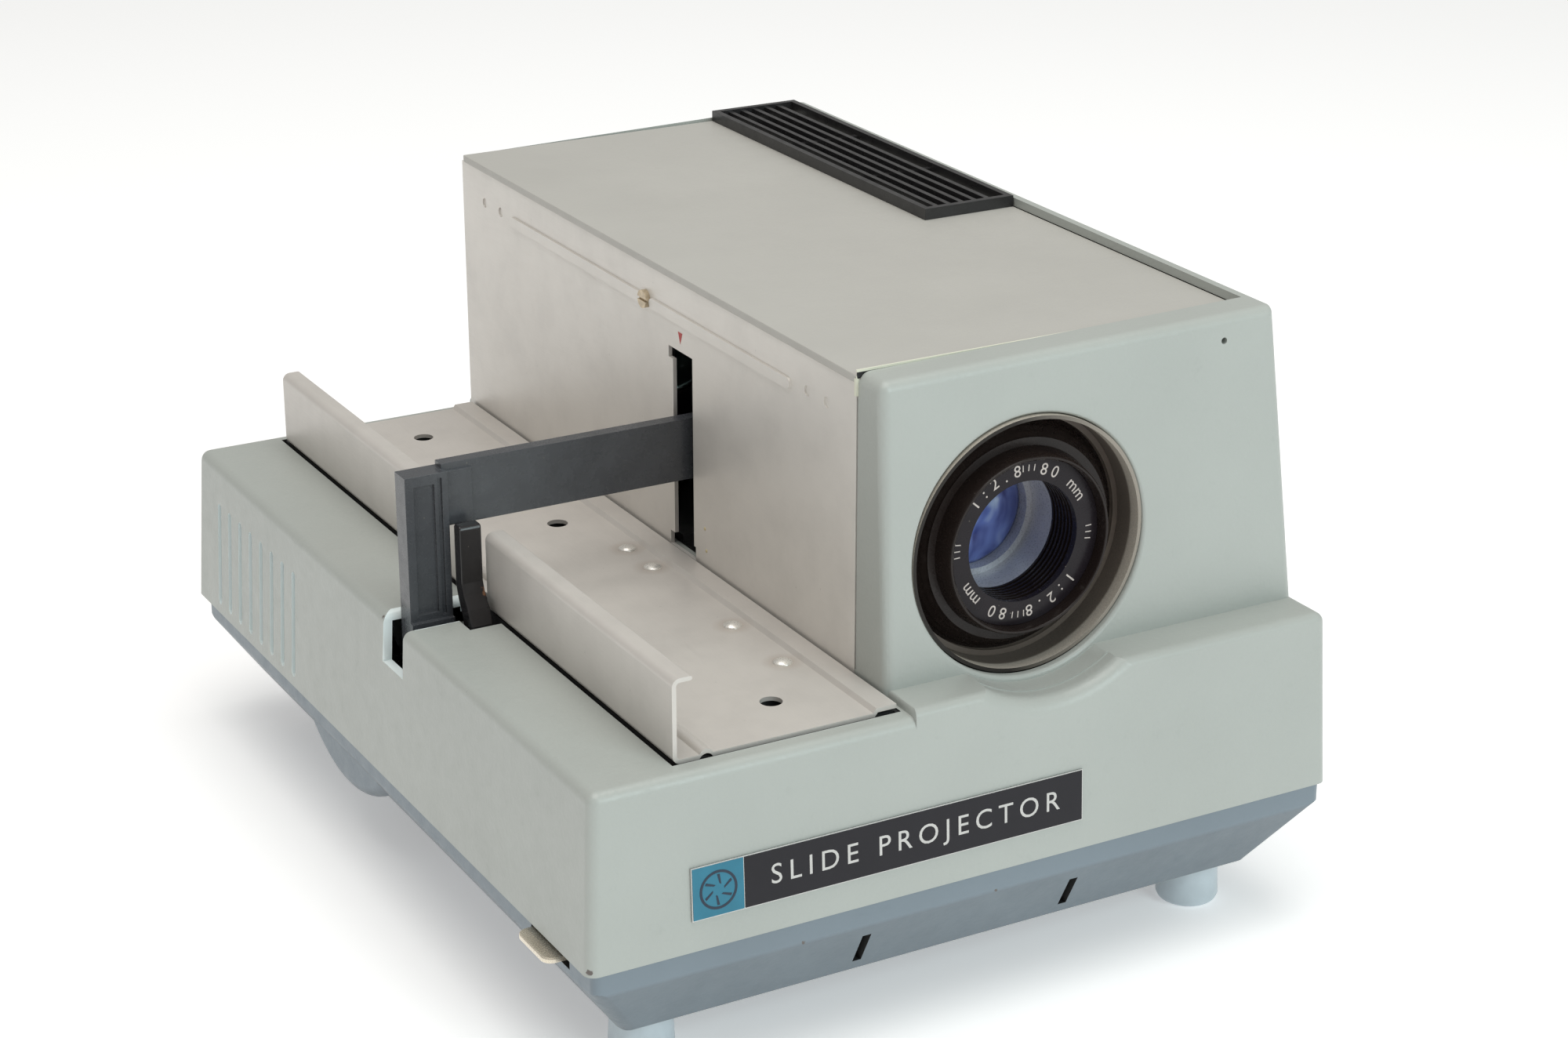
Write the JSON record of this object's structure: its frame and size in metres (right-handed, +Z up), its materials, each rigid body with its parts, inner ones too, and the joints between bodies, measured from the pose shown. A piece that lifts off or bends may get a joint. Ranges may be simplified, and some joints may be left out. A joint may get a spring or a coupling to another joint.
{
  "type": "slide projector",
  "caption": "Slide projector with an open straight tray channel, a push-pull slide changer, a turning focus lens in a hood, a lift-off vented cover and a base pan on four feet.",
  "frame": {"origin": "middle of the footprint, at the bottom of the feet", "axes": "+Z up, -Y out of the lens, -X towards the tray channel and the changer's pull"},
  "size_m": [0.2292, 0.2864, 0.1758],
  "materials": {
    "housing_enamel": "fine-textured light grey-green stove enamel, semi-gloss",
    "pan_enamel": "blue-grey enamel, semi-matt",
    "cover_enamel": "warm light grey enamel, semi-matt",
    "plate_aluminium": "satin sheet",
    "channel_aluminium": "satin sheet",
    "cast_aluminium": "as cast",
    "cell_aluminium": "grey anodised",
    "rivet_steel": "domed, plated",
    "brass_screw": "tarnished slotted head",
    "plate_black": "black printed plate with a silver edge",
    "foot_plastic": "pale grey-blue",
    "zinc_steel": "zinc plated",
    "black_rubber": "matt",
    "nickel": "nickel plated",
    "black_plastic": "black moulding",
    "grey_plastic": "dark grey moulding",
    "gloss_black_plastic": "polished black moulding",
    "sleeve_metal": "satin grey-brown",
    "focus_bronze_paint": "satin brown-black",
    "barrel_black": "polished black",
    "ring_black": "black with engraved marks",
    "coated_glass": "blue-violet coating",
    "clear_glass": "clear, polished",
    "heat_glass": "pale green heat-absorbing glass",
    "mirror_glass": "front-surface mirror",
    "mirror_metal": "polished dish",
    "black_steel": "blackened",
    "spring_steel": "bright",
    "ceramic": "white steatite",
    "lamination_steel": "varnished laminations",
    "copper_wire": "enamelled copper winding",
    "coil_tape": "yellow-brown insulating tape",
    "brass_pins": "bright"
  },
  "bodies": {
    "body": {"base_pan": "pan_enamel", "housing": "housing_enamel", "wall_plate": "plate_aluminium", "tray_channel": "channel_aluminium", "channel_rivets": "rivet_steel", "plate_screw": "brass_screw", "nameplate": "plate_black", "foot_guides": "zinc_steel", "rear_feet": "black_rubber", "pan_screws": "zinc_steel", "bar_guides": "black_plastic", "lever_bracket": "zinc_steel", "lens_sleeve": "sleeve_metal", "sleeve_clamp": "cast_aluminium", "optical_bench": "cast_aluminium", "gate_front": "black_steel", "gate_rear": "zinc_steel", "gate_spring": "spring_steel", "gate_condenser": "clear_glass", "condenser_ring": "cast_aluminium", "fold_mirror": "mirror_glass", "mirror_bracket": "zinc_steel", "lamp_condenser": "clear_glass", "heat_filter": "heat_glass", "filter_holder": "zinc_steel", "lamp_bulb": "clear_glass", "lamp_socket": "ceramic", "reflector": "mirror_metal", "reflector_bracket": "zinc_steel", "fan_housing": "black_plastic", "motor_core": "lamination_steel", "motor_coil": "copper_wire", "motor_bracket": "zinc_steel", "transformer_core": "lamination_steel", "transformer_coil": "coil_tape", "terminal_strip": "ceramic", "mains_inlet": "black_plastic", "inlet_pins": "brass_pins", "fuse_cap": "black_plastic", "switch_body": "black_plastic"},
    "changer": {"changer_handle": "grey_plastic", "changer_bar": "zinc_steel"},
    "transport": {"transport_lever": "gloss_black_plastic"},
    "focus_ring": {"focus_nut": "sleeve_metal"},
    "lens": {"focus_tube": "focus_bronze_paint", "lens_barrel": "barrel_black", "name_ring": "ring_black", "lens_baffle": "barrel_black", "lens_cell": "cell_aluminium", "front_element": "coated_glass", "middle_element": "clear_glass", "rear_element": "clear_glass"},
    "cover": {"cover_plate": "cover_enamel", "cover_grille": "black_plastic"},
    "height_feet": {"front_feet": "foot_plastic", "foot_crossbar": "zinc_steel"},
    "height_release": {"release_tab": "nickel"},
    "fan_rotor": {"fan_impeller": "grey_plastic", "fan_shaft": "spring_steel"},
    "rocker": {"switch_rocker": "gloss_black_plastic"}
  },
  "joints": [
    {"name": "changer_slide", "type": "slide", "parent": "body", "child": "changer", "axis": [-1, 0, 0], "range_m": [0, 0.078]},
    {"name": "transport_rock", "type": "hinge", "parent": "body", "child": "transport", "pos_m": [-0.0871, -0.0288, 0.076], "axis": [-1, 0, 0], "range_deg": [0, 4]},
    {"name": "focus_travel", "type": "slide", "parent": "body", "child": "focus_ring", "axis": [0, -1, 0], "range_m": [-0.004, 0.012]},
    {"name": "focus_turn", "type": "hinge", "parent": "focus_ring", "child": "lens", "pos_m": [0.0256, -0.0828, 0.1225], "axis": [0, -1, 0], "range_deg": [-361, 1081]},
    {"name": "cover_lift", "type": "slide", "parent": "body", "child": "cover", "axis": [0, 0, 1], "range_m": [0, 0.06]},
    {"name": "feet_height", "type": "slide", "parent": "body", "child": "height_feet", "axis": [0, 0, -1], "range_m": [0, 0.008]},
    {"name": "release_push", "type": "slide", "parent": "body", "child": "height_release", "axis": [1, 0, 0], "range_m": [0, 0.003], "stiffness_N_per_m": 900, "springref_m": -0.0015},
    {"name": "fan_spin", "type": "hinge", "parent": "body", "child": "fan_rotor", "pos_m": [-0.0764, 0.0272, 0.0515], "axis": [1, 0, 0], "continuous": true},
    {"name": "switch_rock", "type": "hinge", "parent": "body", "child": "rocker", "pos_m": [0.0406, 0.1382, 0.062], "axis": [-1, 0, 0], "range_deg": [0, 18]}
  ],
  "couplings": [
    {"joint": "transport_rock", "follows": "changer_slide", "rad_per_m": 0.89415},
    {"joint": "focus_turn", "follows": "focus_travel", "rad_per_m": 1570.8}
  ]
}
